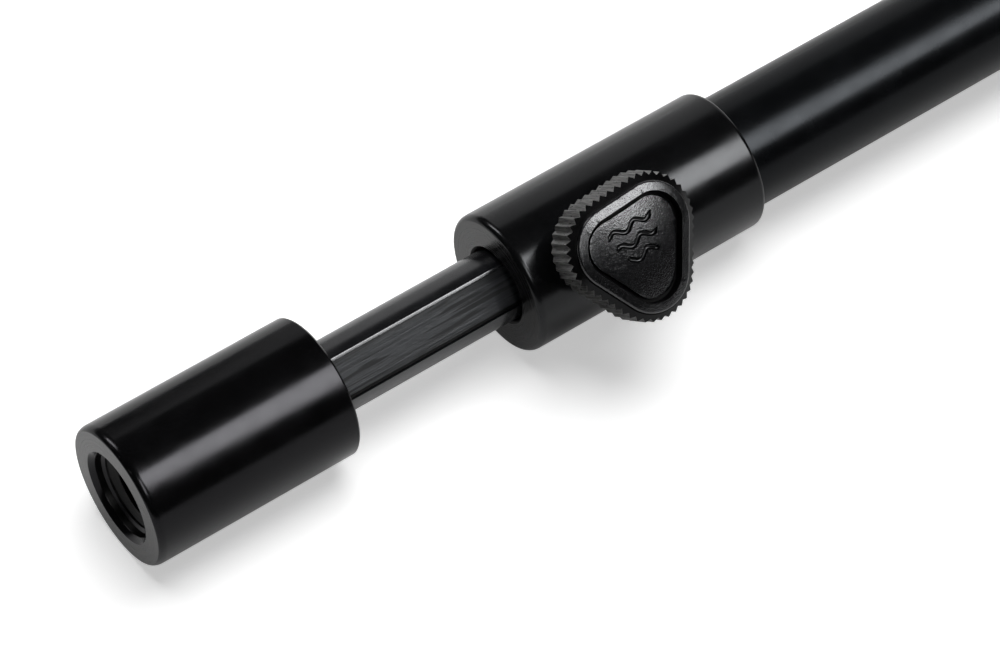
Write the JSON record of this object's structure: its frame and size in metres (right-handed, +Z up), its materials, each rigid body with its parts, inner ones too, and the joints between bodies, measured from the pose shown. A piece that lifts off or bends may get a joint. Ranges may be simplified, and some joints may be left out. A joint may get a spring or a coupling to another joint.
{
  "type": "bank stick",
  "caption": "Telescopic bank stick lying on its side: a threaded head on a grooved stem, clamped by a three-lobed thumb screw in a collar on a pointed outer tube.",
  "frame": {"origin": "the middle of the stick's footprint, on the surface it lies on", "axes": "+X along the stick from the threaded head to the ground point, +Z up, the thumb screw leaning towards -Y"},
  "size_m": [0.333, 0.0294, 0.0276],
  "materials": {
    "anodised_black": "satin black anodised",
    "drawn_bar": "black anodised drawn bar",
    "turned_point": "black anodised, turned",
    "knob_black": "black, serrated",
    "cap_plastic": "fine spark-textured black",
    "nylon": "natural nylon",
    "steel": "bright"
  },
  "bodies": {
    "barrel": {"collar": "anodised_black", "outer_tube": "anodised_black", "ground_point": "turned_point"},
    "inner": {"head": "anodised_black", "stem": "drawn_bar", "stem_guide": "nylon", "guide_screw": "steel"},
    "clamp_pad": {"screw_pad": "nylon"},
    "thumb_screw": {"screw_stud": "steel", "knob": "knob_black", "knob_cap": "cap_plastic"}
  },
  "joints": [
    {"name": "stem_slide", "type": "slide", "parent": "barrel", "child": "inner", "axis": [-1, 0, 0], "range_m": [-0.0277, 0.162]},
    {"name": "pad_travel", "type": "slide", "parent": "barrel", "child": "clamp_pad", "axis": [0, -0.7431, 0.6691], "range_m": [0, 0.00201]},
    {"name": "thumb_screw_turn", "type": "hinge", "parent": "clamp_pad", "child": "thumb_screw", "pos_m": [-0.0962, 0.00492, 0.00975], "axis": [0, -0.7431, 0.6691], "range_deg": [0, 720]}
  ],
  "couplings": [
    {"joint": "pad_travel", "follows": "thumb_screw_turn", "m_per_rad": 0.00015915}
  ]
}
